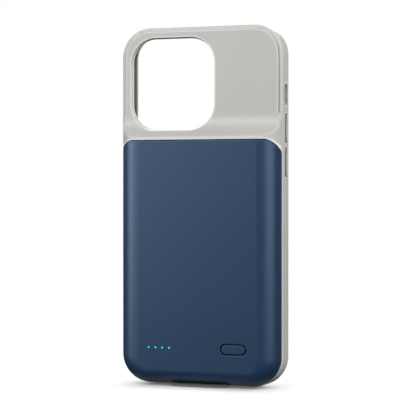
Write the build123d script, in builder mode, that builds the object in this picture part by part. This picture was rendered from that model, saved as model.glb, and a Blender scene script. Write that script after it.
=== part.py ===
"""Battery charging case: a soft pocket frame with a battery under a domed cover.

The pocket opens towards +Y, the domed battery side faces -Y and +Z points up.
The origin lies on the ground, under the middle of the case.
"""

import os
from math import asin, cos, degrees, hypot, radians, sin, tan

from build123d import *

os.makedirs("parts", exist_ok=True)

# Driving dimensions in millimetres: the pocket and the soft frame around it
pocket_width = 77.3
pocket_height = 160.1
pocket_depth = 8.6
side_wall = 2.35
top_wall = 2.4
chin_height = 9.3
lip_thickness = 1.3
lip_overlap = 1.5
lip_bevel = 0.5
corner_radius = 14.2
front_round = 2.4
back_round = 1.2

# Upper back: the rim, the raised panel, the ramp up to the cover and its crest
rim_back = 1.5
rim_width = 1.8
panel_raise = 0.6
panel_edge = 0.4
collar_height = 1.7
collar_drop = 0.2
ramp_height = 10.9
ramp_wall = 1.8
crest_radius = 1.4
core_side = 12.0

# Window in the upper back, measured at the panel's face
window_width = 43.2
window_height = 44.3
window_radius = 12.5
window_from_left = 4.9
window_from_top = 4.95
window_above_crest = 3.65
window_taper = 15.0

# Foot under the chin
foot_height = 0.8
foot_base = 20.0
foot_width = 28.4
foot_overhang = 6.2
foot_toe = 0.5
foot_crown = 1.0
foot_crown_back = 1.3

# Cutouts and keys in the side walls
cutout_length = 10.7
cutout_width = 5.6
cutout_from_top = 33.2
key_length = 13.2
key_width = 2.2
key_pitch = 16.2
key_groove = 0.5
key_raise = 0.6
key_edge = 0.2
key_flange = 0.5
key_flange_rim = 0.65
key_travel = 0.4
volume_from_top = 49.1
side_key_from_top = 54.0

# Battery cover: its dome is an ellipse in section
cover_inset = 0.6
cover_wall = 1.4
cover_top_radius = 7.4
cover_top_edge = 0.5
dome_side = 10.5
dome_bottom = 6.2
dome_steps = 8

# Tray, screws and cell
tray_thickness = 1.1
tray_flange = 3.2
tray_lip = 1.2
tray_lip_thickness = 0.4
tray_top_gap = 1.7
post_diameter = 3.4
post_from_board_side = 3.0
post_from_low = (2.6, 9.6)
boss_diameter = 4.0
screw_diameter = 1.6
screw_length = 4.6
screw_head_diameter = 3.0
screw_head_height = 0.6
screw_sink = 0.05
screw_slot_width = 0.4
screw_slot_length = 1.8
screw_slot_depth = 0.3
screw_from_side = 2.8
side_screws_from_low = (13.6, 55.6)
top_screw_spread = 44.0
top_screw_from_top = 2.8
cell_thickness = 5.0
cell_round = 1.6
cell_gap = 0.2
cell_side_gap = 1.65
cell_top_room = 7.7
pad_thickness = 0.2
pad_margin = 4.0

# Boards and what they carry
board_side_gap = 2.65
board_height = 20.0
board_thickness = 0.8
board_above_cover_edge = 4.5
board_round = 1.5
cell_board_width = 36.0
cell_board_height = 3.2
cell_board_gap = 1.2
lead_diameter = 0.9
lead_spread = 12.0
lead_rise = 1.3
lead_bend = 0.7
lead_inset = 1.4
chip_size = 4.0
chip_height = 0.9
inductor_size = 6.0
inductor_height = 1.8
inductor_corner = 0.8
chip_spread = 14.0
parts_above_board_edge = 5.5

# Charge lights and the power button
light_count = 4
light_pitch = 3.5
light_diameter = 0.8
light_from_side = 16.5
light_shoulder = 0.5
light_shoulder_height = 0.6
light_gap = 0.1
led_width = 1.0
led_length = 1.6
led_height = 0.5
controls_height = 18.5
button_from_side = 22.4
button_length = 12.0
button_width = 4.3
button_groove = 0.55
button_edge = 0.4
button_flange = 0.5
button_flange_rim = 0.6
button_sink = 0.05
button_travel = 0.35
groove_edge = 0.3
plunger_diameter = 2.6
plunger_reach = 0.5
plunger_hold = 0.7
switch_size = 5.2
switch_height = 1.6

# Plug, inlet and the small board between them
plug_width = 8.25
plug_thickness = 2.4
plug_reach = 6.5
plug_skin = 0.3
plug_mouth_width = 6.9
plug_mouth_thickness = 0.8
plug_mouth_depth = 5.3
collar_width = 12.0
collar_thickness = 3.2
collar_flange = 0.8
collar_flange_height = 0.6
collar_reach = 1.4
port_width = 8.94
port_thickness = 3.2
port_skin = 0.25
port_depth = 6.6
port_sink = 0.5
port_mouth_gap = 0.3
tongue_width = 6.7
tongue_thickness = 0.7
tongue_sink = 0.9
port_board_width = 24.0
port_board_thickness = 0.8
flex_width = 10.0
flex_thickness = 0.2
flex_land = 2.5
flex_rise = 1.2
room_wall = 1.2
room_half_depth = 2.3
sound_slot_length = 5.6
sound_slot_width = 2.2
sound_slot_from_side = 15.05
sound_slot_pitch = 7.6
sound_slot_drop = 2.6

# Clearances
fit_gap = 0.15
seam_gap = 0.3
slide_gap = 0.3
stop_gap = 0.1
pin_gap = 0.03

# Depths, from the open front to the back of the cover
stack_depth = tray_thickness + pad_thickness + cell_thickness + cell_gap + cover_wall
case_depth = lip_thickness + pocket_depth + stack_depth
front_y = case_depth / 2
lip_y = front_y - lip_thickness
floor_y = lip_y - pocket_depth
seat_y = floor_y - tray_thickness
rim_y = floor_y - rim_back
panel_y = rim_y - panel_raise
back_y = -case_depth / 2
cover_inner_y = back_y + cover_wall
collar_y = back_y + collar_drop
plug_y = floor_y + pocket_depth / 2

# Widths
case_width = pocket_width + 2 * side_wall
case_side = case_width / 2
pocket_side = pocket_width / 2
pocket_radius = corner_radius - side_wall
cover_side = case_side - cover_inset
cover_low_radius = corner_radius - cover_inset
dome_flat_side = cover_side - dome_side

# Heights above the ground
body_low = foot_height
pocket_low = body_low + chin_height
pocket_high = pocket_low + pocket_height
case_height = pocket_high + top_wall
body_middle = (body_low + case_height) / 2
pocket_middle = (pocket_low + pocket_high) / 2
cover_low = body_low + cover_inset

# The window hangs from the top; the ramp's crest and the cover lie below it.
window_x = window_from_left + window_width / 2 - case_side
window_z = case_height - window_from_top - window_height / 2
window_low = window_z - window_height / 2
crest_z = window_low - window_above_crest
ramp_z = crest_z + ramp_height
cover_high = crest_z - collar_height

# The ramp is a hollow arc that leaves the panel level and ends at the crest.
ramp_rise = panel_y - collar_y
ramp_radius = (ramp_height**2 + ramp_rise**2) / (2 * ramp_rise)
ramp_sweep = degrees(asin(ramp_height / ramp_radius))

# Tray and what is screwed or stuck to it
tray_width = pocket_width - 2 * tray_flange
tray_radius = pocket_radius - tray_flange
tray_low = pocket_low + tray_flange
tray_high = cover_high - cover_wall - tray_top_gap
tray_middle = (tray_low + tray_high) / 2
side_screw_x = tray_width / 2 - screw_from_side
sides = (-1, 1)
screw_places = [(side * side_screw_x, tray_low + rise) for rise in side_screws_from_low for side in sides]
screw_places += [(side * top_screw_spread / 2, tray_high - top_screw_from_top) for side in sides]
boss_length = seat_y - cover_inner_y
screw_head_y = floor_y - screw_sink
pilot_depth = screw_length + screw_sink - tray_thickness + fit_gap
between_bosses = 2 * side_screw_x - boss_diameter
board_width = between_bosses - 2 * board_side_gap
post_x = board_width / 2 - post_from_board_side
post_places = [(side * post_x, tray_low + rise) for rise in post_from_low for side in sides]

# The switch stack behind the power button sets the main board's depth.
button_stop_y = cover_inner_y + stop_gap
button_inner_y = button_stop_y + button_flange
switch_y = button_inner_y + plunger_reach
board_back_y = switch_y + switch_height
board_front_y = board_back_y + board_thickness
board_low = cover_low + board_above_cover_edge
board_high = board_low + board_height
button_x = case_side - button_from_side
first_light_x = light_from_side - case_side
light_places = [(first_light_x + light_pitch * n, controls_height) for n in range(light_count)]

cell_board_low = board_high + cell_board_gap
cell_low = cell_board_low + cell_board_height
cell_high = cover_high - cover_wall - cell_top_room
cell_height = cell_high - cell_low
cell_middle = (cell_low + cell_high) / 2
cell_width = between_bosses - 2 * cell_side_gap
cell_front_y = seat_y - pad_thickness

# Chin room with the inlet below and the plug above it
room_low = body_low + room_wall
room_high = pocket_low - room_wall
port_board_y = plug_y - port_thickness / 2
port_board_low = room_low + fit_gap
port_board_high = room_high - fit_gap
plug_low = pocket_low - collar_flange_height - collar_reach
plug_high = pocket_low + plug_reach
volume_z = case_height - volume_from_top
side_key_z = case_height - side_key_from_top
cutout_z = case_height - cutout_from_top


def at_depth(y):
    """Plane across the case at depth y: its own axes are X and Z, and it looks along -Y."""
    return Plane.XZ.offset(-y)


def pillow(inset, top_edge=0):
    """Domed block on the cover's outline, set in by inset on every face but the flat underside.

    Its upper end is rounded off towards the back by top_edge.
    """
    rise = seat_y - back_y - inset
    corner_lean = (dome_side + dome_bottom) / 2 - inset
    high = cover_high - inset
    with BuildPart() as block:
        for step in range(dome_steps + 1):
            turn = radians(90 * step / dome_steps)
            lean = 1 - cos(turn)
            half = cover_side - inset - (dome_side - inset) * lean
            low = cover_low + inset + (dome_bottom - inset) * lean
            with BuildSketch(at_depth(seat_y - rise * sin(turn))) as section:
                with Locations((0, (low + high) / 2)):
                    Rectangle(2 * half, high - low)
                lower = section.vertices().group_by(Axis.Y)[0]
                fillet(lower, cover_low_radius - inset - corner_lean * lean)
        loft()
        if top_edge:
            upper_rim = block.faces().sort_by(Axis.Z)[-1].edges().sort_by(Axis.Y)[:-1]
            fillet(upper_rim, top_edge)
        # The upper corners are rounded straight through the block.
        with BuildSketch(at_depth(seat_y)) as outline:
            with Locations((0, high)):
                outline_width = 2 * (cover_side - inset)
                Rectangle(outline_width, cover_high, align=(Align.CENTER, Align.MAX))
            upper = outline.vertices().group_by(Axis.Y)[-1]
            fillet(upper, cover_top_radius - inset)
        extrude(amount=case_depth, mode=Mode.INTERSECT)
    return block.part


def foot_block():
    """Foot that narrows downwards and reaches under the cover, thinning to a toe at the back."""
    front = front_y - front_round
    back = rim_y - foot_overhang + back_round
    high = foot_height + foot_crown
    with BuildPart() as block:
        with BuildSketch(at_depth(front)):
            with BuildLine():
                Polyline(
                    (-foot_base / 2, 0),
                    (foot_base / 2, 0),
                    (foot_width / 2, foot_height),
                    (foot_width / 2, high),
                    (-foot_width / 2, high),
                    (-foot_width / 2, foot_height),
                    close=True,
                )
            make_face()
        extrude(amount=front - back)
        with BuildSketch(Plane.YZ):
            with BuildLine():
                Polyline(
                    (front, 0),
                    (back, 0),
                    (back, foot_toe),
                    (seat_y - foot_crown_back, high),
                    (floor_y, high),
                    (front, foot_height),
                    close=True,
                )
            make_face()
        extrude(amount=foot_width, both=True, mode=Mode.INTERSECT)
    return block.part


def on_crest(edge):
    """Whether an edge lies where the ramp's hollow arc meets the dome."""
    reach = [hypot((edge @ t).Y - panel_y + ramp_radius, (edge @ t).Z - ramp_z) for t in (0, 0.5, 1)]
    return max(abs(r - ramp_radius) for r in reach) < pin_gap and (edge @ 0.5).Z < ramp_z - pin_gap


def side_slot(side, inner_x, outer_x, length, width, z, mode=Mode.ADD):
    """Upright slot shape between two distances from the middle, in the right (1) or left (-1) wall."""
    with BuildSketch(Plane.YZ.offset(side * inner_x)) as slot:
        with Locations((plug_y, z)):
            SlotOverall(length, width, rotation=90)
    extrude(slot.sketch, amount=side * (outer_x - inner_x), mode=mode)


def key_opening(side, z):
    """Slot through a side wall for a key, with a wider recess inside for the key's flange."""
    side_slot(side, 0, case_side, key_length + 2 * key_groove, key_width + 2 * key_groove, z, Mode.SUBTRACT)
    rim = 2 * (key_groove + key_flange_rim + slide_gap)
    recess = pocket_side + key_flange + key_travel + stop_gap
    side_slot(side, 0, recess, key_length + rim, key_width + rim, z, Mode.SUBTRACT)


def key_body(side, z):
    """Key a little proud of the wall, held in by a flange that can move inwards by the key's travel."""
    flange_out = pocket_side + key_flange + key_travel
    side_slot(side, flange_out - key_flange, case_side + key_raise, key_length, key_width, z)
    rim = 2 * (key_groove + key_flange_rim)
    side_slot(side, flange_out - key_flange, flange_out, key_length + rim, key_width + rim, z)


# Soft frame: one moulding with the bumper rim, the upper back, the chin and the foot
with BuildPart() as soft_frame:
    with BuildSketch(at_depth(front_y)):
        with Locations((0, body_middle)):
            RectangleRounded(case_width, case_height - body_low, corner_radius)
    extrude(amount=front_y - rim_y)
    fillet(soft_frame.faces().sort_by(Axis.Y)[-1].edges(), front_round)
    fillet(soft_frame.faces().sort_by(Axis.Y)[0].edges(), back_round)
    # Raised panel inside the rim; its lower end is buried in the dome
    panel_low = cover_high - cover_top_radius
    with BuildSketch(at_depth(rim_y)):
        with Locations((0, (panel_low + case_height - rim_width) / 2)):
            panel_height = case_height - rim_width - panel_low
            RectangleRounded(case_width - 2 * rim_width, panel_height, corner_radius - rim_width)
    extrude(amount=panel_raise)
    fillet(soft_frame.faces().sort_by(Axis.Y)[0].edges(), panel_edge)
    # Top end of the dome, which the ramp hollows out
    with BuildSketch(Plane.XY.offset(panel_low)):
        with Locations((-dome_flat_side, seat_y), (dome_flat_side, seat_y)):
            Ellipse(dome_side, seat_y - collar_y)
        with Locations((0, seat_y)):
            Rectangle(2 * dome_flat_side, 2 * (seat_y - collar_y))
            dome_half = (Align.CENTER, Align.MAX)
            Rectangle(2 * cover_side, case_depth, align=dome_half, mode=Mode.INTERSECT)
    extrude(amount=ramp_z - panel_low)
    with BuildSketch(Plane.YZ):
        with BuildLine():
            rise = Line((panel_y, case_height), (panel_y, ramp_z))
            hollow = CenterArc((panel_y - ramp_radius, ramp_z), ramp_radius, 0, -ramp_sweep)
            Polyline(
                hollow @ 1,
                (collar_y, panel_low),
                (collar_y - case_depth, panel_low),
                (collar_y - case_depth, case_height),
                rise @ 0,
            )
        make_face()
    extrude(amount=case_width, both=True, mode=Mode.SUBTRACT)
    fillet([edge for edge in soft_frame.edges() if on_crest(edge)], crest_radius)
    add(foot_block())
    # Seat for the cover, with the seam's gap all round
    add(pillow(-seam_gap), mode=Mode.SUBTRACT)
    # Hollow behind the ramp, open towards the battery room
    with BuildSketch(Plane.YZ):
        with Locations((seat_y, cover_high)):
            hollow_depth = seat_y - collar_y - ramp_wall
            hollow_height = window_low - ramp_wall - cover_high
            Rectangle(hollow_depth, hollow_height, align=(Align.MAX, Align.MIN))
        with Locations((panel_y - ramp_radius, ramp_z)):
            Circle(ramp_radius + ramp_wall, mode=Mode.SUBTRACT)
    extrude(amount=case_side - core_side, both=True, mode=Mode.SUBTRACT)
    # Pocket, its front opening and the lip around it
    with BuildSketch(at_depth(lip_y)):
        with Locations((0, pocket_middle)):
            RectangleRounded(pocket_width, pocket_height, pocket_radius)
    extrude(amount=pocket_depth, mode=Mode.SUBTRACT)
    with BuildSketch(at_depth(front_y)):
        with Locations((0, pocket_middle)):
            mouth_width = pocket_width - 2 * lip_overlap
            mouth_height = pocket_height - 2 * lip_overlap
            RectangleRounded(mouth_width, mouth_height, pocket_radius - lip_overlap)
    extrude(amount=lip_thickness, mode=Mode.SUBTRACT)
    fillet(soft_frame.faces().sort_by(Axis.Y)[-1].inner_wires()[0].edges(), lip_bevel)
    # Opening for the tray, with a rebate for the tray's lip
    for grow, depth in ((fit_gap, tray_thickness), (tray_lip + fit_gap, tray_lip_thickness)):
        with BuildSketch(at_depth(floor_y)):
            with Locations((0, tray_middle)):
                opening_height = tray_high - tray_low + 2 * grow
                RectangleRounded(tray_width + 2 * grow, opening_height, tray_radius + grow)
        extrude(amount=depth, mode=Mode.SUBTRACT)
    # Window, wider towards the back
    for depth in (floor_y, back_y):
        with BuildSketch(at_depth(depth)):
            with Locations((window_x, window_z)):
                grow = (panel_y - depth) * tan(radians(window_taper))
                RectangleRounded(window_width + 2 * grow, window_height + 2 * grow, window_radius + grow)
    loft(mode=Mode.SUBTRACT)
    # Open cutout and keys in the side walls
    side_slot(1, 0, case_side, cutout_length, cutout_width, cutout_z, Mode.SUBTRACT)
    key_opening(1, volume_z)
    key_opening(1, volume_z - key_pitch)
    key_opening(-1, side_key_z)
    # Room in the chin: wide behind the port board, narrow in front of it
    for half_width, back, front in (
        (port_board_width / 2 + fit_gap, seat_y, port_board_y),
        (collar_width / 2 + fit_gap, port_board_y, plug_y + room_half_depth),
    ):
        with BuildSketch(at_depth(front)):
            with Locations((0, (room_low + room_high) / 2)):
                Rectangle(2 * half_width, room_high - room_low)
        extrude(amount=front - back, mode=Mode.SUBTRACT)
    with BuildSketch(Plane.XY):
        with Locations((0, plug_y)):
            SlotOverall(port_width + 2 * port_mouth_gap, port_thickness + 2 * port_mouth_gap)
    extrude(amount=room_low, mode=Mode.SUBTRACT)
    # Seat for the plug's collar in the pocket's lower wall
    for grow, depth in ((0, room_wall), (collar_flange, collar_flange_height)):
        with BuildSketch(Plane.XY.offset(pocket_low)):
            with Locations((0, plug_y)):
                room = 2 * (grow + fit_gap)
                Rectangle(collar_width + room, collar_thickness + room)
        extrude(amount=-depth, mode=Mode.SUBTRACT)
    # Sound ducts from the pocket's lower end to the front of the chin
    outer_duct_x = pocket_side - sound_slot_from_side
    duct_offsets = (outer_duct_x - sound_slot_pitch, outer_duct_x)
    duct_places = [side * offset for offset in duct_offsets for side in sides]
    with BuildSketch(at_depth(front_y)):
        with Locations(*[(x, pocket_low - sound_slot_drop) for x in duct_places]):
            SlotOverall(sound_slot_length, sound_slot_width)
    extrude(amount=front_y - plug_y, mode=Mode.SUBTRACT)
    with BuildSketch(Plane.XY.offset(pocket_low)):
        with Locations(*[(x, plug_y + sound_slot_width / 2) for x in duct_places]):
            SlotOverall(sound_slot_length, sound_slot_width)
    extrude(amount=-sound_slot_drop, mode=Mode.SUBTRACT)
soft_frame.part.label = "soft_frame"
export_step(soft_frame.part, "parts/soft_frame.step")

# Battery cover: a domed shell with screw bosses, light holes and the button's opening
with BuildPart() as battery_cover:
    add(pillow(0, cover_top_edge))
    add(pillow(cover_wall), mode=Mode.SUBTRACT)
    with BuildSketch(at_depth(seat_y)):
        with Locations(*screw_places):
            Circle(boss_diameter / 2)
    extrude(amount=boss_length)
    with BuildSketch(at_depth(seat_y)):
        with Locations(*screw_places):
            Circle(screw_diameter / 2 + pin_gap)
    extrude(amount=pilot_depth, mode=Mode.SUBTRACT)
    with BuildSketch(at_depth(cover_inner_y)):
        with Locations((button_x, controls_height)):
            SlotOverall(button_length + 2 * button_groove, button_width + 2 * button_groove)
    extrude(amount=cover_wall, mode=Mode.SUBTRACT)
    groove = battery_cover.faces().sort_by(Axis.Y)[0].inner_wires()[0]
    fillet(groove.edges(), groove_edge)
    with BuildSketch(at_depth(cover_inner_y)):
        with Locations(*light_places):
            Circle(light_diameter / 2 + pin_gap)
    extrude(amount=cover_wall, mode=Mode.SUBTRACT)
battery_cover.part.label = "battery_cover"
export_step(battery_cover.part, "parts/battery_cover.step")

# Inner tray: stiff floor of the pocket behind the battery, with posts for the main board
with BuildPart() as inner_tray:
    for grow, depth in ((0, tray_thickness), (tray_lip, tray_lip_thickness)):
        with BuildSketch(at_depth(floor_y)):
            with Locations((0, tray_middle)):
                RectangleRounded(tray_width + 2 * grow, tray_high - tray_low + 2 * grow, tray_radius + grow)
        extrude(amount=depth)
    with BuildSketch(at_depth(seat_y)):
        with Locations(*post_places):
            Circle(post_diameter / 2)
    extrude(amount=seat_y - board_front_y)
    with BuildSketch(at_depth(floor_y)):
        with Locations(*screw_places):
            Circle(screw_diameter / 2 + fit_gap)
    extrude(amount=tray_thickness, mode=Mode.SUBTRACT)
    with BuildSketch(at_depth(floor_y)):
        with Locations(*screw_places):
            Circle(screw_head_diameter / 2 + fit_gap)
    extrude(amount=screw_sink + screw_head_height, mode=Mode.SUBTRACT)
inner_tray.part.label = "inner_tray"
export_step(inner_tray.part, "parts/inner_tray.step")

# Tray screws: one group of separate slotted screws, driven from the pocket
with BuildPart() as tray_screws:
    with BuildSketch(at_depth(screw_head_y)):
        with Locations(*screw_places):
            Circle(screw_head_diameter / 2)
    extrude(amount=screw_head_height)
    with BuildSketch(at_depth(screw_head_y)):
        with Locations(*screw_places):
            Circle(screw_diameter / 2)
    extrude(amount=screw_length)
    with BuildSketch(at_depth(screw_head_y)):
        with Locations(*screw_places):
            Rectangle(screw_slot_length, screw_slot_width)
            Rectangle(screw_slot_width, screw_slot_length)
    extrude(amount=screw_slot_depth, mode=Mode.SUBTRACT)
tray_screws.part.label = "tray_screws"
export_step(tray_screws.part, "parts/tray_screws.step")

# Pouch cell and the adhesive pad that holds it to the tray
with BuildPart() as lithium_cell:
    with BuildSketch(at_depth(cell_front_y)):
        with Locations((0, cell_middle)):
            Rectangle(cell_width, cell_height)
    extrude(amount=cell_thickness)
    fillet(lithium_cell.edges(), cell_round)
lithium_cell.part.label = "lithium_cell"
export_step(lithium_cell.part, "parts/lithium_cell.step")

with BuildPart() as cell_pad:
    with BuildSketch(at_depth(seat_y)):
        with Locations((0, cell_middle)):
            Rectangle(cell_width - 2 * pad_margin, cell_height - 2 * pad_margin)
    extrude(amount=pad_thickness)
cell_pad.part.label = "cell_pad"
export_step(cell_pad.part, "parts/cell_pad.step")

# Protection board along the cell's lower end
with BuildPart() as protection_board:
    with BuildSketch(at_depth(board_front_y)):
        with Locations((0, cell_board_low + cell_board_height / 2)):
            Rectangle(cell_board_width, cell_board_height)
    extrude(amount=board_thickness)
protection_board.part.label = "protection_board"
export_step(protection_board.part, "parts/protection_board.step")

# Two insulated leads arch from the protection board to the main board.
for lead_name, lead_side in (("positive_lead", -1), ("negative_lead", 1)):
    with BuildPart() as lead:
        with BuildLine(Plane.YZ.offset(lead_side * lead_spread / 2)) as route:
            lead_start = cell_board_low + cell_board_height / 2
            lead_end = board_high - lead_inset
            FilletPolyline(
                (board_back_y, lead_start),
                (board_back_y - lead_rise, lead_start),
                (board_back_y - lead_rise, lead_end),
                (board_back_y, lead_end),
                radius=lead_bend,
            )
        with BuildSketch(Plane(origin=route.line @ 0, z_dir=route.line % 0)):
            Circle(lead_diameter / 2)
        sweep()
    lead.part.label = lead_name
    export_step(lead.part, f"parts/{lead_name}.step")

# Main board, with the charging chip and the coil on its back
with BuildPart() as main_board:
    with BuildSketch(at_depth(board_front_y)):
        with Locations((0, (board_low + board_high) / 2)):
            RectangleRounded(board_width, board_height, board_round)
    extrude(amount=board_thickness)
main_board.part.label = "main_board"
export_step(main_board.part, "parts/main_board.step")

with BuildPart() as charger_chip:
    with BuildSketch(at_depth(board_back_y)):
        with Locations((-chip_spread / 2, board_low + parts_above_board_edge)):
            Rectangle(chip_size, chip_size)
    extrude(amount=chip_height)
charger_chip.part.label = "charger_chip"
export_step(charger_chip.part, "parts/charger_chip.step")

with BuildPart() as boost_inductor:
    with BuildSketch(at_depth(board_back_y)):
        with Locations((chip_spread / 2, board_low + parts_above_board_edge)):
            Rectangle(inductor_size, inductor_size)
    extrude(amount=inductor_height)
    chamfer(boost_inductor.edges().filter_by(Axis.Y), inductor_corner)
boost_inductor.part.label = "boost_inductor"
export_step(boost_inductor.part, "parts/boost_inductor.step")

# Charge lights on the board, and a clear pin from each to the cover's face
for number, place in enumerate(light_places, start=1):
    with BuildPart() as led:
        with BuildSketch(at_depth(board_back_y)):
            with Locations(place):
                Rectangle(led_width, led_length)
        extrude(amount=led_height)
    led.part.label = f"led_{number}"
    export_step(led.part, f"parts/led_{number}.step")

    with BuildPart() as light_pipe:
        pipe_start_y = board_back_y - led_height - light_gap
        with BuildSketch(at_depth(pipe_start_y)):
            with Locations(place):
                Circle(light_diameter / 2)
        extrude(amount=pipe_start_y - back_y)
        with BuildSketch(at_depth(cover_inner_y + light_shoulder_height)):
            with Locations(place):
                Circle(light_diameter / 2 + light_shoulder)
        extrude(amount=light_shoulder_height)
    light_pipe.part.label = f"light_pipe_{number}"
    export_step(light_pipe.part, f"parts/light_pipe_{number}.step")

# Power button: a pill with a flange that keeps it behind the cover
with BuildPart() as power_button:
    with BuildSketch(at_depth(button_inner_y)):
        with Locations((button_x, controls_height)):
            SlotOverall(button_length, button_width)
    extrude(amount=button_inner_y - back_y - button_sink)
    fillet(power_button.faces().sort_by(Axis.Y)[0].edges(), button_edge)
    with BuildSketch(at_depth(button_inner_y)):
        with Locations((button_x, controls_height)):
            flange_growth = 2 * (button_groove + button_flange_rim)
            SlotOverall(button_length + flange_growth, button_width + flange_growth)
    extrude(amount=button_flange)
power_button.part.label = "power_button"
export_step(power_button.part, "parts/power_button.step")

# Push switch: the body stays on the board and the plunger moves with the button.
with BuildPart() as switch_body:
    with BuildSketch(at_depth(board_back_y)):
        with Locations((button_x, controls_height)):
            Rectangle(switch_size, switch_size)
    extrude(amount=switch_height)
    with BuildSketch(at_depth(switch_y)):
        with Locations((button_x, controls_height)):
            Circle(plunger_diameter / 2 + fit_gap)
    extrude(amount=-(plunger_hold + button_travel + stop_gap), mode=Mode.SUBTRACT)
switch_body.part.label = "switch_body"
export_step(switch_body.part, "parts/switch_body.step")

with BuildPart() as switch_plunger:
    with BuildSketch(at_depth(button_inner_y)):
        with Locations((button_x, controls_height)):
            Circle(plunger_diameter / 2)
    extrude(amount=-(plunger_reach + plunger_hold))
switch_plunger.part.label = "switch_plunger"
export_step(switch_plunger.part, "parts/switch_plunger.step")

# Plug that stands up in the pocket: collar, metal shell and core
with BuildPart() as plug_collar:
    with BuildSketch(Plane.XY.offset(plug_low)):
        with Locations((0, plug_y)):
            Rectangle(collar_width, collar_thickness)
    extrude(amount=pocket_low - plug_low)
    with BuildSketch(Plane.XY.offset(pocket_low)):
        with Locations((0, plug_y)):
            Rectangle(collar_width + 2 * collar_flange, collar_thickness + 2 * collar_flange)
    extrude(amount=-collar_flange_height)
    with BuildSketch(Plane.XY.offset(plug_low)):
        with Locations((0, plug_y)):
            SlotOverall(plug_width + 2 * pin_gap, plug_thickness + 2 * pin_gap)
    extrude(amount=pocket_low - plug_low, mode=Mode.SUBTRACT)
plug_collar.part.label = "plug_collar"
export_step(plug_collar.part, "parts/plug_collar.step")

plug_core_width = plug_width - 2 * plug_skin
plug_core_thickness = plug_thickness - 2 * plug_skin
with BuildPart() as plug_shell:
    with BuildSketch(Plane.XY.offset(plug_low)):
        with Locations((0, plug_y)):
            SlotOverall(plug_width, plug_thickness)
            SlotOverall(plug_core_width, plug_core_thickness, mode=Mode.SUBTRACT)
    extrude(amount=plug_high - plug_low)
plug_shell.part.label = "plug_shell"
export_step(plug_shell.part, "parts/plug_shell.step")

with BuildPart() as plug_core:
    plug_core_high = plug_high - plug_skin
    with BuildSketch(Plane.XY.offset(plug_low)):
        with Locations((0, plug_y)):
            SlotOverall(plug_core_width - 2 * pin_gap, plug_core_thickness - 2 * pin_gap)
    extrude(amount=plug_core_high - plug_low)
    with BuildSketch(Plane.XY.offset(plug_core_high)):
        with Locations((0, plug_y)):
            Rectangle(plug_mouth_width, plug_mouth_thickness)
    extrude(amount=-plug_mouth_depth, mode=Mode.SUBTRACT)
plug_core.part.label = "plug_core"
export_step(plug_core.part, "parts/plug_core.step")

# Port board across the chin, with the charging inlet that opens through the foot
with BuildPart() as port_board:
    with BuildSketch(at_depth(port_board_y)):
        with Locations((0, (port_board_low + port_board_high) / 2)):
            Rectangle(port_board_width, port_board_high - port_board_low)
    extrude(amount=port_board_thickness)
port_board.part.label = "port_board"
export_step(port_board.part, "parts/port_board.step")

with BuildPart() as port_shell:
    with BuildSketch(Plane.XY.offset(port_sink)):
        with Locations((0, plug_y)):
            SlotOverall(port_width, port_thickness)
    extrude(amount=port_depth)
    with BuildSketch(Plane.XY.offset(port_sink)):
        with Locations((0, plug_y)):
            SlotOverall(port_width - 2 * port_skin, port_thickness - 2 * port_skin)
    extrude(amount=port_depth - port_skin, mode=Mode.SUBTRACT)
port_shell.part.label = "port_shell"
export_step(port_shell.part, "parts/port_shell.step")

with BuildPart() as port_tongue:
    with BuildSketch(Plane.XY.offset(port_sink + tongue_sink)):
        with Locations((0, plug_y)):
            Rectangle(tongue_width, tongue_thickness)
    extrude(amount=port_depth - port_skin - tongue_sink)
port_tongue.part.label = "port_tongue"
export_step(port_tongue.part, "parts/port_tongue.step")

# Flat cable from the port board's back to the main board's front
with BuildPart() as link_flex:
    port_land_y = port_board_y - port_board_thickness
    flex_z = board_low + flex_rise
    with BuildSketch(Plane.YZ):
        with BuildLine():
            Polyline(
                (port_land_y, flex_z - flex_land),
                (port_land_y, flex_z),
                (board_front_y + flex_thickness, flex_z),
                (board_front_y + flex_thickness, flex_z + flex_land),
                (board_front_y, flex_z + flex_land),
                (board_front_y, flex_z - flex_thickness),
                (port_land_y - flex_thickness, flex_z - flex_thickness),
                (port_land_y - flex_thickness, flex_z - flex_land),
                close=True,
            )
        make_face()
    extrude(amount=flex_width / 2, both=True)
link_flex.part.label = "link_flex"
export_step(link_flex.part, "parts/link_flex.step")

# Keys in the side walls
for key_name, key_side, key_z in (
    ("volume_up_button", 1, volume_z),
    ("volume_down_button", 1, volume_z - key_pitch),
    ("side_button", -1, side_key_z),
):
    with BuildPart() as key:
        key_body(key_side, key_z)
        fillet(key.faces().sort_by(Axis.X, reverse=key_side < 0)[-1].edges(), key_edge)
    key.part.label = key_name
    export_step(key.part, f"parts/{key_name}.step")
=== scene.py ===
"""Looks of the battery charging case: materials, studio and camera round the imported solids."""
import math

import bpy
import numpy as np
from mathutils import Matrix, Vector


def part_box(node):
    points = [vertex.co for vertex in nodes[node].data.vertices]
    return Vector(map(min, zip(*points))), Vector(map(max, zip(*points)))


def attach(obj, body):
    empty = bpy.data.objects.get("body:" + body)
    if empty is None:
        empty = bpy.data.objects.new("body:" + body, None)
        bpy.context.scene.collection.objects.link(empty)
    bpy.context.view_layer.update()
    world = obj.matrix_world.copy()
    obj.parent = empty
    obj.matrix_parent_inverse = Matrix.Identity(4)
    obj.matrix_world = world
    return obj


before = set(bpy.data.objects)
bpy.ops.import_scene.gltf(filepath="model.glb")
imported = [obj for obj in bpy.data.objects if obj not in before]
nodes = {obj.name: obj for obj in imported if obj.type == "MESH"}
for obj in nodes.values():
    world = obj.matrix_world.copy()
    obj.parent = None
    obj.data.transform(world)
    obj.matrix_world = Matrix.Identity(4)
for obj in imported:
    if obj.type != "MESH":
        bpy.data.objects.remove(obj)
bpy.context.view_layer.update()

# Camera, in metres and degrees: it stands off the battery side, turned to the right
CAMERA_PLACE = (0.2801, -0.7420, 0.0949)
CAMERA_TURN = 20.5
CAMERA_PITCH = 0.68
CAMERA_REACH = 100.0
LENS_MM = 142.7
SENSOR_MM = 36.0

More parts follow.
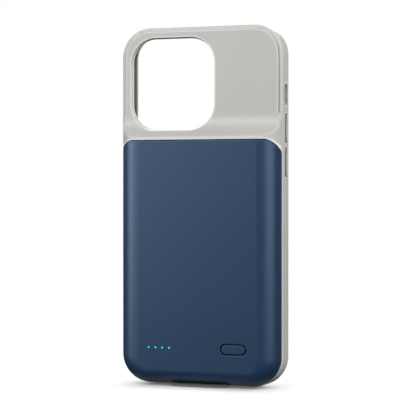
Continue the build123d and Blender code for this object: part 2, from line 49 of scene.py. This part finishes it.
# Studio, in metres: the world gives an even fill, and the softboxes add the modelling
STUDIO_MIDDLE = (0.0, 0.0, 0.087)
LAMP_DISTANCE = 0.8
TOP_LAMP_DISTANCE = 0.85
WORLD_FILL = 0.22
BACKDROP_GLOSS = 0.15
WHITE = (1.0, 1.0, 1.0, 1.0)

# Floor, in metres: a sheet of paper just under the foot
FLOOR_HALF = 12.0
FLOOR_DIVISIONS = 8
FLOOR_DROP = 0.00005
FLOOR_GREY = (0.05, 0.05, 0.05)
FLOOR_ROUGHNESS = 0.9
PAPER_BLOTCH = 0.004
PAPER_SHIFT = 0.01

# Shadow on the floor, in metres: how far it reaches, and the distances to the side over which it fades out
SHADOW_SAMPLES = 16
SHADOW_REACH = 0.016
SHADOW_DARKEST = 0.09
SHADOW_FULL = 0.026
SHADOW_END = 0.045

# White pool on the floor that reflections show, in metres: its shares of white at the middle and outside.
# A share over 1 counts as 1, so the pool is evenly white in the middle and fades towards its rim.
POOL_CENTRE = (0.0, -0.003, 0.0)
POOL_REACH = (0.044, 0.0115, 0.044)
POOL_GLOSS = 1.5
FLOOR_GLOSS = 0.03

# Colours, as linear light
GREY_SOFT = (0.505, 0.493, 0.470)
GREY_KEY = (0.500, 0.490, 0.468)
SLATE_BLUE = (0.0075, 0.030, 0.075)
BLUE_GLOSS = (0.58, 0.74, 1.0)
LIGHT_CYAN = (0.0, 0.62, 1.0)
TRAY_CHARCOAL = (0.030, 0.031, 0.033)
SCREW_GREY = (0.30, 0.30, 0.31)
FOIL_SILVER = (0.60, 0.61, 0.63)
PAD_WHITE = (0.72, 0.71, 0.67)
BOARD_GREEN = (0.018, 0.120, 0.055)
LEAD_RED = (0.46, 0.020, 0.018)
LEAD_BLACK = (0.020, 0.020, 0.021)
CHIP_BLACK = (0.024, 0.024, 0.026)
PLUG_BLACK = (0.028, 0.028, 0.029)
PLUG_STEEL = (0.74, 0.74, 0.75)
FLEX_AMBER = (0.42, 0.19, 0.035)
CONTACT_GOLD = (0.80, 0.55, 0.22)

# Noise: the part of its range that the finishes use, and its sizes in metres
NOISE_LOW = 0.3
NOISE_HIGH = 0.7
CLOUD_SIZE = 0.018
SKIN_DETAIL = 3.0
BRUSH_SIZE = 0.0002
BRUSH_DETAIL = 4.0
BRUSH_SHIFT = 0.06

# Crease shading: heights in metres between which it changes, and its shares low down and at the floor
CREASE_SAMPLES = 8
TOP_FADE_START = 0.160
TOP_FADE_END = 0.168
GROUND_NEAR = 0.002
GROUND_FAR = 0.005
GROUND_SHARE = 0.2
GROUND_CONTACT = 10.5

# Painted edge highlight: at this openness inside the solid, as at a square edge, the painted lightening
# (lift) is full
EDGE_SAMPLES = 8
EDGE_OPENNESS = 0.5

# Glow of the light pipes: strength at the rim and on the axis, and its reach in metres
PIN_ROUGHNESS = 0.2
PIN_GLOW_RIM = 0.55
PIN_GLOW_AXIS = 1.05
PIN_GLOW_REACH = (0.0012, 0.0012, 0.0012)

# Gold contacts of the plug and the inlet, in metres
CONTACTS = 12
CONTACT_PITCH = 0.0005
CONTACT_WIDTH = 0.00026
CONTACT_SINK = 0.00004
CONTACT_STATIONS = 13
PLUG_MOUTH_HALF = 0.0004
PLUG_CONTACT_LOW = 0.0046
PLUG_CONTACT_HIGH = 0.0006
PLUG_CONTACT_BOW = 0.00012
INLET_CONTACT_LOW = 0.0004
INLET_CONTACT_HIGH = 0.0042
INLET_CONTACT_RISE = 0.00004


def start_material(name):
    """Empty node material with a Principled shader; gives the material, its tree and the shader."""
    material = bpy.data.materials.new(name)
    material.use_nodes = True
    tree = material.node_tree
    tree.nodes.clear()
    output = tree.nodes.new("ShaderNodeOutputMaterial")
    shader = tree.nodes.new("ShaderNodeBsdfPrincipled")
    tree.links.new(shader.outputs["BSDF"], output.inputs["Surface"])
    return material, tree, shader


def inside(material):
    """Tree and Principled shader of a material that start_material made."""
    tree = material.node_tree
    return tree, tree.nodes["Principled BSDF"]


def object_noise(tree, size, detail=2.0, stretch=(1.0, 1.0, 1.0)):
    """Noise on Object coordinates whose blobs are about size metres across, drawn out along stretch."""
    place = tree.nodes.new("ShaderNodeTexCoord")
    mapping = tree.nodes.new("ShaderNodeMapping")
    mapping.inputs["Scale"].default_value = [1.0 / (size * share) for share in stretch]
    noise = tree.nodes.new("ShaderNodeTexNoise")
    noise.inputs["Scale"].default_value = 1.0
    noise.inputs["Detail"].default_value = detail
    tree.links.new(place.outputs["Object"], mapping.inputs["Vector"])
    tree.links.new(mapping.outputs["Vector"], noise.inputs["Vector"])
    return noise


def object_axis(tree, axis):
    """Socket with one axis of the Object coordinates."""
    place = tree.nodes.new("ShaderNodeTexCoord")
    axes = tree.nodes.new("ShaderNodeSeparateXYZ")
    tree.links.new(place.outputs["Object"], axes.inputs["Vector"])
    return axes.outputs[axis]


def spread(tree, value, start, end, start_value, end_value):
    """Socket that runs evenly from start_value to end_value as a value socket goes from start to end."""
    run = tree.nodes.new("ShaderNodeMapRange")
    run.inputs["From Min"].default_value = start
    run.inputs["From Max"].default_value = end
    run.inputs["To Min"].default_value = start_value
    run.inputs["To Max"].default_value = end_value
    tree.links.new(value, run.inputs["Value"])
    return run.outputs["Result"]


def combine(tree, operation, first, second):
    """Socket with the result of a Math operation on two sockets."""
    maths = tree.nodes.new("ShaderNodeMath")
    maths.operation = operation
    tree.links.new(first, maths.inputs[0])
    tree.links.new(second, maths.inputs[1])
    return maths.outputs["Value"]


def openness(tree, reach, samples, inwards=False):
    """Socket with the share of the surroundings that is free of surfaces within reach."""
    open_share = tree.nodes.new("ShaderNodeAmbientOcclusion")
    open_share.samples = samples
    open_share.inside = inwards
    open_share.inputs["Distance"].default_value = reach
    return open_share.outputs["AO"]


def falloff(tree, centre, reach):
    """Socket that is 1 at a centre and falls evenly to 0 at a reach along each axis."""
    place = tree.nodes.new("ShaderNodeTexCoord")
    mapping = tree.nodes.new("ShaderNodeMapping")
    mapping.vector_type = "TEXTURE"
    mapping.inputs["Location"].default_value = centre
    mapping.inputs["Scale"].default_value = reach
    fade = tree.nodes.new("ShaderNodeTexGradient")
    fade.gradient_type = "SPHERICAL"
    tree.links.new(place.outputs["Object"], mapping.inputs["Vector"])
    tree.links.new(mapping.outputs["Vector"], fade.inputs["Vector"])
    return fade.outputs["Fac"]


def tint(colour, share):
    """The colour made lighter or darker by a share of itself, with full alpha."""
    return [channel * (1.0 + share) for channel in colour] + [1.0]


def vary_colour(tree, shader, noise, colour, shift):
    """Base colour that wanders by a small share of itself, up and down, with a noise."""
    ramp = tree.nodes.new("ShaderNodeValToRGB")
    darker, lighter = ramp.color_ramp.elements
    darker.position = NOISE_LOW
    darker.color = tint(colour, -shift)
    lighter.position = NOISE_HIGH
    lighter.color = tint(colour, shift)
    tree.links.new(noise.outputs["Fac"], ramp.inputs["Fac"])
    tree.links.new(ramp.outputs["Color"], shader.inputs["Base Color"])


def vary_roughness(tree, shader, noise, low, high):
    """Roughness that runs from low to high with a noise."""
    rough = spread(tree, noise.outputs["Fac"], NOISE_LOW, NOISE_HIGH, low, high)
    tree.links.new(rough, shader.inputs["Roughness"])


def raise_grain(tree, shader, noise, height):
    """Fine relief of the given height in metres, taken from a noise."""
    bump = tree.nodes.new("ShaderNodeBump")
    bump.inputs["Strength"].default_value = 1.0
    bump.inputs["Distance"].default_value = height
    tree.links.new(noise.outputs["Fac"], bump.inputs["Height"])
    tree.links.new(bump.outputs["Normal"], shader.inputs["Normal"])


def scale_colour(tree, shader, factor):
    """Multiplies what feeds the base colour by a factor socket."""
    colour = shader.inputs["Base Color"].links[0].from_socket
    scaled = tree.nodes.new("ShaderNodeVectorMath")
    scaled.operation = "SCALE"
    tree.links.new(colour, scaled.inputs[0])
    tree.links.new(factor, scaled.inputs["Scale"])
    tree.links.new(scaled.outputs["Vector"], shader.inputs["Base Color"])


def shade_creases(material, reach, depth):
    """Base colour darkened where other surfaces stand within reach, as light is lost in a crease.

    The openness is raised to a power, which is depth over most of the case. The power fades to 0
    near the top, where light from above fills the creases. It is smaller low down, where a white
    floor lightens them, and largest right at the floor.
    """
    tree, shader = inside(material)
    height = object_axis(tree, "Z")
    power = spread(tree, height, TOP_FADE_START, TOP_FADE_END, depth, 0.0)
    low = spread(tree, height, GROUND_NEAR, GROUND_FAR, GROUND_SHARE, 1.0)
    contact = spread(tree, height, 0.0, GROUND_NEAR, GROUND_CONTACT, 1.0)
    for share in (low, contact):
        power = combine(tree, "MULTIPLY", power, share)
    scale_colour(tree, shader, combine(tree, "POWER", openness(tree, reach, CREASE_SAMPLES), power))


def paint_edge_highlight(material, reach, lift):
    """Painted highlight: base colour made lighter, by up to a share lift, along outer edges, standing in
    for the light that rounded edges catch.

    The openness inside the solid tells an edge, where it is small, from a flat place, where it is 1.
    """
    tree, shader = inside(material)
    within = openness(tree, reach, EDGE_SAMPLES, inwards=True)
    scale_colour(tree, shader, spread(tree, within, EDGE_OPENNESS, 1.0, 1.0 + lift, 1.0))


def moulded(name, colour, shift, rough, grain, height, gloss_tint=(1.0, 1.0, 1.0), gloss=0.5):
    """Moulded plastic: a slow wander of the colour, a fine grain in roughness and relief."""
    material, tree, shader = start_material(name)
    shader.inputs["Specular Tint"].default_value = (*gloss_tint, 1.0)
    shader.inputs["Specular IOR Level"].default_value = gloss
    cloud = object_noise(tree, CLOUD_SIZE)
    skin = object_noise(tree, grain, detail=SKIN_DETAIL)
    vary_colour(tree, shader, cloud, colour, shift)
    vary_roughness(tree, shader, skin, *rough)
    raise_grain(tree, shader, skin, height)
    return material


def brushed(name, colour, rough, stretch):
    """Plated or rolled metal, with fine lines drawn out along one direction."""
    material, tree, shader = start_material(name)
    shader.inputs["Metallic"].default_value = 1.0
    lines = object_noise(tree, BRUSH_SIZE, detail=BRUSH_DETAIL, stretch=stretch)
    vary_colour(tree, shader, lines, colour, BRUSH_SHIFT)
    vary_roughness(tree, shader, lines, *rough)
    return material


def glowing_pin(name, centre):
    """Clear pin lit from behind: the glow is strongest on the pin's axis and falls off to its rim."""
    material, tree, shader = start_material(name)
    shader.inputs["Base Color"].default_value = (*LIGHT_CYAN, 1.0)
    shader.inputs["Roughness"].default_value = PIN_ROUGHNESS
    shader.inputs["Emission Color"].default_value = (*LIGHT_CYAN, 1.0)
    nearness = falloff(tree, centre, PIN_GLOW_REACH)
    glow = spread(tree, nearness, 0.0, 1.0, PIN_GLOW_RIM, PIN_GLOW_AXIS)
    tree.links.new(glow, shader.inputs["Emission Strength"])
    return material


def dress(node, material):
    """Gives a CAD node its one finished material."""
    slots = nodes[node].data.materials
    slots.clear()
    slots.append(material)


# Outer finishes: the soft frame, its keys, and the cover with its button
grey_soft = moulded("grey_soft", GREY_SOFT, shift=0.015, rough=(0.32, 0.38), grain=0.00035, height=0.000006)
shade_creases(grey_soft, reach=0.006, depth=1.7)
# Painted highlight: the frame's outer edges are lightened in the base colour
paint_edge_highlight(grey_soft, reach=0.0012, lift=0.65)
grey_key = moulded("grey_key", GREY_KEY, shift=0.015, rough=(0.46, 0.56), grain=0.00035, height=0.00001)
shade_creases(grey_key, reach=0.003, depth=1.7)
slate_blue = moulded("slate_blue", SLATE_BLUE, shift=0.03, rough=(0.34, 0.40), grain=0.00025,
                     height=0.000004, gloss_tint=BLUE_GLOSS, gloss=0.88)
shade_creases(slate_blue, reach=0.0015, depth=2.5)

# Finishes of the tray and of what lies under the cover
tray_charcoal = moulded("tray_charcoal", TRAY_CHARCOAL, shift=0.06, rough=(0.52, 0.64), grain=0.0005,
                        height=0.00003)
pad_white = moulded("pad_white", PAD_WHITE, shift=0.03, rough=(0.7, 0.8), grain=0.0004, height=0.00002)
board_green = moulded("board_green", BOARD_GREEN, shift=0.12, rough=(0.28, 0.4), grain=0.0009,
                      height=0.00002)
lead_red = moulded("lead_red", LEAD_RED, shift=0.05, rough=(0.4, 0.5), grain=0.0003, height=0.00001)
lead_black = moulded("lead_black", LEAD_BLACK, shift=0.05, rough=(0.4, 0.5), grain=0.0003, height=0.00001)
chip_black = moulded("chip_black", CHIP_BLACK, shift=0.06, rough=(0.45, 0.6), grain=0.0002, height=0.00001)
plug_black = moulded("plug_black", PLUG_BLACK, shift=0.05, rough=(0.42, 0.52), grain=0.0003, height=0.00001)
flex_amber = moulded("flex_amber", FLEX_AMBER, shift=0.08, rough=(0.25, 0.35), grain=0.0006, height=0.00001)
led_cyan = moulded("led_cyan", LIGHT_CYAN, shift=0.08, rough=(0.2, 0.3), grain=0.0003, height=0.00001)
screw_grey = brushed("screw_grey", SCREW_GREY, rough=(0.3, 0.42), stretch=(1.0, 1.0, 6.0))
plug_steel = brushed("plug_steel", PLUG_STEEL, rough=(0.40, 0.48), stretch=(8.0, 8.0, 0.3))
contact_gold = brushed("contact_gold", CONTACT_GOLD, rough=(0.25, 0.35), stretch=(0.5, 0.5, 8.0))
foil_silver = brushed("foil_silver", FOIL_SILVER, rough=(0.35, 0.5), stretch=(1.0, 1.0, 8.0))

FINISHES = (
    (grey_soft, ("soft_frame",)),
    (grey_key, ("volume_up_button", "volume_down_button", "side_button")),
    (slate_blue, ("battery_cover", "power_button")),
    (tray_charcoal, ("inner_tray",)),
    (screw_grey, ("tray_screws",)),
    (foil_silver, ("lithium_cell",)),
    (pad_white, ("cell_pad",)),
    (board_green, ("protection_board", "main_board", "port_board")),
    (lead_red, ("positive_lead",)),
    (lead_black, ("negative_lead",)),
    (chip_black, ("charger_chip", "boost_inductor", "switch_body", "switch_plunger")),
    (plug_black, ("plug_collar", "plug_core", "port_tongue")),
    (plug_steel, ("plug_shell", "port_shell")),
    (flex_amber, ("link_flex",)),
    (led_cyan, ("led_1", "led_2", "led_3", "led_4")),
)
for finish, dressed in FINISHES:
    for node in dressed:
        dress(node, finish)
for number in (1, 2, 3, 4):
    pin = f"light_pipe_{number}"
    low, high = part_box(pin)
    face = ((low.x + high.x) / 2, low.y, (low.z + high.z) / 2)
    dress(pin, glowing_pin(f"glow_{number}", face))


def contact_row(wall_y, facing, low_z, high_z, rise, bow):
    """Row of closed blades against a wall at wall_y, facing +y (1) or -y (-1).

    Each is a rectangle carried along z. Its back is sunk a little into the wall, and its face
    stands off by rise + bow * sin(pi * t), where t runs from 0 to 1 along the blade. Gives the
    points, blade by blade and station by station, and the faces.
    """
    along = np.linspace(0.0, 1.0, CONTACT_STATIONS)
    back = np.full(CONTACT_STATIONS, wall_y - facing * CONTACT_SINK)
    face = wall_y + facing * (rise + bow * np.sin(np.pi * along))
    near, far = np.minimum(back, face), np.maximum(back, face)
    middles = (np.arange(CONTACTS) - (CONTACTS - 1) / 2) * CONTACT_PITCH
    points = np.empty((CONTACTS, CONTACT_STATIONS, 4, 3))
    points[..., 0] = middles[:, None, None] + CONTACT_WIDTH / 2 * np.array((-1.0, 1.0, 1.0, -1.0))
    points[..., 1] = np.stack((near, near, far, far), axis=-1)
    points[..., 2] = (low_z + (high_z - low_z) * along)[:, None]
    station, corner = np.meshgrid(np.arange(CONTACT_STATIONS - 1), np.arange(4), indexing="ij")
    ahead = (corner + 1) % 4
    sides = np.stack((corner, ahead, ahead + 4, corner + 4), axis=-1) + 4 * station[..., None]
    top = 4 * (CONTACT_STATIONS - 1) + np.arange(4)
    blade = np.concatenate((sides.reshape(-1, 4), [[3, 2, 1, 0]], [top]))
    faces = blade[None] + 4 * CONTACT_STATIONS * np.arange(CONTACTS)[:, None, None]
    return points.reshape(-1, 3), faces.reshape(-1, 4)


def contact_piece(name, rows):
    """One mesh of several contact rows, in gold, that rides on the case."""
    points, faces, count = [], [], 0
    for row_points, row_faces in rows:
        points.append(row_points)
        faces.append(row_faces + count)
        count += len(row_points)
    mesh = bpy.data.meshes.new(name)
    mesh.from_pydata(np.concatenate(points).tolist(), [], np.concatenate(faces).tolist())
    mesh.materials.append(contact_gold)
    piece = bpy.data.objects.new(name, mesh)
    bpy.context.scene.collection.objects.link(piece)
    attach(piece, "case")


# Spring blades on both walls of the plug's mouth, and flat pads on both faces of the inlet's tongue
core_low, core_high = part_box("plug_core")
core_y = (core_low.y + core_high.y) / 2
blades = [
    contact_row(core_y - facing * PLUG_MOUTH_HALF, facing, core_high.z - PLUG_CONTACT_LOW,
                core_high.z - PLUG_CONTACT_HIGH, 0.0, PLUG_CONTACT_BOW)
    for facing in (1, -1)
]
contact_piece("plug_contacts", blades)
tongue_low, tongue_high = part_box("port_tongue")
pads = [
    contact_row(wall_y, facing, tongue_low.z + INLET_CONTACT_LOW, tongue_low.z + INLET_CONTACT_HIGH,
                INLET_CONTACT_RISE, 0.0)
    for wall_y, facing in ((tongue_high.y, 1), (tongue_low.y, -1))
]
contact_piece("inlet_contacts", pads)


def studio_place(azimuth, elevation, distance):
    """Point round the middle of the case: azimuth from the battery side towards +X, in degrees."""
    turn, rise = math.radians(azimuth), math.radians(elevation)
    flat = distance * math.cos(rise)
    height = STUDIO_MIDDLE[2] + distance * math.sin(rise)
    return Vector((flat * math.sin(turn), -flat * math.cos(turn), height))


def softbox(name, azimuth, elevation, width, height, power,
            distance=LAMP_DISTANCE, mirrored=True, lighting=True):
    """Rectangular area lamp that faces the middle of the case and that the camera doesn't see.

    A lamp that isn't mirrored lights the surfaces but leaves no highlight on them, and one that
    isn't lighting leaves only its highlight.
    """
    lamp = bpy.data.lights.new(name, "AREA")
    lamp.shape = "RECTANGLE"
    lamp.size = width
    lamp.size_y = height
    lamp.energy = power
    holder = bpy.data.objects.new(name, lamp)
    holder.location = studio_place(azimuth, elevation, distance)
    holder.rotation_euler = (Vector(STUDIO_MIDDLE) - holder.location).to_track_quat("-Z", "Y").to_euler()
    holder.visible_camera = False
    holder.visible_glossy = mirrored
    holder.visible_diffuse = lighting
    bpy.context.scene.collection.objects.link(holder)


softbox("left_box", azimuth=-42, elevation=13, width=0.56, height=0.65, power=2.55)
softbox("left_strip", azimuth=-58, elevation=5, width=0.14, height=0.9, power=2.3, lighting=False)
softbox("right_box", azimuth=39, elevation=8, width=0.60, height=0.9, power=4.25)
softbox("top_box", azimuth=-20, elevation=37, width=0.36, height=0.30, power=1.85,
        distance=TOP_LAMP_DISTANCE)
softbox("side_fill", azimuth=70, elevation=20, width=0.5, height=0.8, power=1.9, mirrored=False)
softbox("back_box", azimuth=118, elevation=22, width=0.5, height=0.4, power=2.6, mirrored=False)
softbox("pocket_box", azimuth=203, elevation=24, width=0.6, height=0.7, power=3.6)


def camera_white(tree, light_socket, gloss_share):
    """Factor that is 1 for camera and transmission rays and gloss_share for glossy rays.

    Gives the socket of that share, so that it can vary over a surface.
    """
    path = tree.nodes.new("ShaderNodeLightPath")
    gloss = tree.nodes.new("ShaderNodeMath")
    gloss.operation = "MULTIPLY"
    gloss.inputs[1].default_value = gloss_share
    tree.links.new(path.outputs["Is Glossy Ray"], gloss.inputs[0])
    direct = combine(tree, "MAXIMUM", path.outputs["Is Camera Ray"], path.outputs["Is Transmission Ray"])
    tree.links.new(combine(tree, "MAXIMUM", gloss.outputs["Value"], direct), light_socket)
    return gloss.inputs[1]


def white_world():
    """World that lights the case with an even fill and is seen as a white backdrop.

    Reflections show only a share of that white, BACKDROP_GLOSS.
    """
    world = bpy.data.worlds.new("studio")
    bpy.context.scene.world = world
    world.use_nodes = True
    tree = world.node_tree
    tree.nodes.clear()
    output = tree.nodes.new("ShaderNodeOutputWorld")
    mix = tree.nodes.new("ShaderNodeMixShader")
    fill = tree.nodes.new("ShaderNodeBackground")
    fill.inputs["Color"].default_value = WHITE
    fill.inputs["Strength"].default_value = WORLD_FILL
    backdrop = tree.nodes.new("ShaderNodeBackground")
    backdrop.inputs["Color"].default_value = WHITE
    tree.links.new(fill.outputs["Background"], mix.inputs[1])
    tree.links.new(backdrop.outputs["Background"], mix.inputs[2])
    tree.links.new(mix.outputs["Shader"], output.inputs["Surface"])
    camera_white(tree, mix.inputs["Fac"], BACKDROP_GLOSS)


def floor_sheet(half, divisions):
    """Flat grid: x and y each run over an even range from -half to half, and z stays just below 0."""
    steps = np.linspace(-half, half, divisions + 1)
    x, y = np.meshgrid(steps, steps)
    points = np.column_stack((x.ravel(), y.ravel(), np.full(x.size, -FLOOR_DROP)))
    row, column = np.meshgrid(np.arange(divisions), np.arange(divisions), indexing="ij")
    first = (row * (divisions + 1) + column).ravel()
    faces = np.column_stack((first, first + 1, first + divisions + 2, first + divisions + 1))
    mesh = bpy.data.meshes.new("floor")
    mesh.from_pydata(points.tolist(), [], faces.tolist())
    sheet = bpy.data.objects.new("floor", mesh)
    bpy.context.scene.collection.objects.link(sheet)
    return sheet


def paper_light(tree):
    """White glow of the paper as it is seen directly, darker where the case stands close over it.

    The shadow fades out to both sides, because the case's lower corners are rounded.
    """
    aside = tree.nodes.new("ShaderNodeMath")
    aside.operation = "ABSOLUTE"
    tree.links.new(object_axis(tree, "X"), aside.inputs[0])
    darkest = spread(tree, aside.outputs["Value"], SHADOW_FULL, SHADOW_END, SHADOW_DARKEST, 1.0)
    strength = spread(tree, openness(tree, SHADOW_REACH, SHADOW_SAMPLES), 0.0, 1.0, SHADOW_DARKEST, 1.0)
    tree.links.new(darkest, strength.node.inputs["To Min"])
    bright = tree.nodes.new("ShaderNodeEmission")
    tree.links.new(strength, bright.inputs["Strength"])
    return bright.outputs["Emission"]


def paper_floor():
    """Floor material: white paper to the camera, dark to the lamps' light, and clear from below.

    In reflections the paper is white close under the case and dark further off, as with black
    cards round it.
    """
    material, tree, shader = start_material("floor_white")
    shader.inputs["Roughness"].default_value = FLOOR_ROUGHNESS
    shader.inputs["Specular IOR Level"].default_value = 0.0
    vary_colour(tree, shader, object_noise(tree, PAPER_BLOTCH), FLOOR_GREY, PAPER_SHIFT)
    seen = tree.nodes.new("ShaderNodeMixShader")
    tree.links.new(shader.outputs["BSDF"], seen.inputs[1])
    tree.links.new(paper_light(tree), seen.inputs[2])
    gloss_share = camera_white(tree, seen.inputs["Fac"], POOL_GLOSS)
    nearness = falloff(tree, POOL_CENTRE, POOL_REACH)
    tree.links.new(spread(tree, nearness, 0.0, 1.0, FLOOR_GLOSS, POOL_GLOSS), gloss_share)
    sides = tree.nodes.new("ShaderNodeNewGeometry")
    clear = tree.nodes.new("ShaderNodeBsdfTransparent")
    sheet = tree.nodes.new("ShaderNodeMixShader")
    tree.links.new(sides.outputs["Backfacing"], sheet.inputs["Fac"])
    tree.links.new(seen.outputs["Shader"], sheet.inputs[1])
    tree.links.new(clear.outputs["BSDF"], sheet.inputs[2])
    tree.links.new(sheet.outputs["Shader"], tree.nodes["Material Output"].inputs["Surface"])
    return material


def stand_camera():
    """Camera at the photograph's angle, with plain colours."""
    lens = bpy.data.cameras.new("camera")
    lens.lens = LENS_MM
    lens.sensor_width = SENSOR_MM
    lens.clip_end = CAMERA_REACH
    camera = bpy.data.objects.new("camera", lens)
    camera.location = CAMERA_PLACE
    camera.rotation_euler = (math.radians(90.0 - CAMERA_PITCH), 0.0, math.radians(CAMERA_TURN))
    bpy.context.scene.collection.objects.link(camera)
    bpy.context.scene.camera = camera
    bpy.context.scene.view_settings.view_transform = "Standard"


white_world()
floor = floor_sheet(FLOOR_HALF, FLOOR_DIVISIONS)
floor.data.materials.append(paper_floor())
stand_camera()
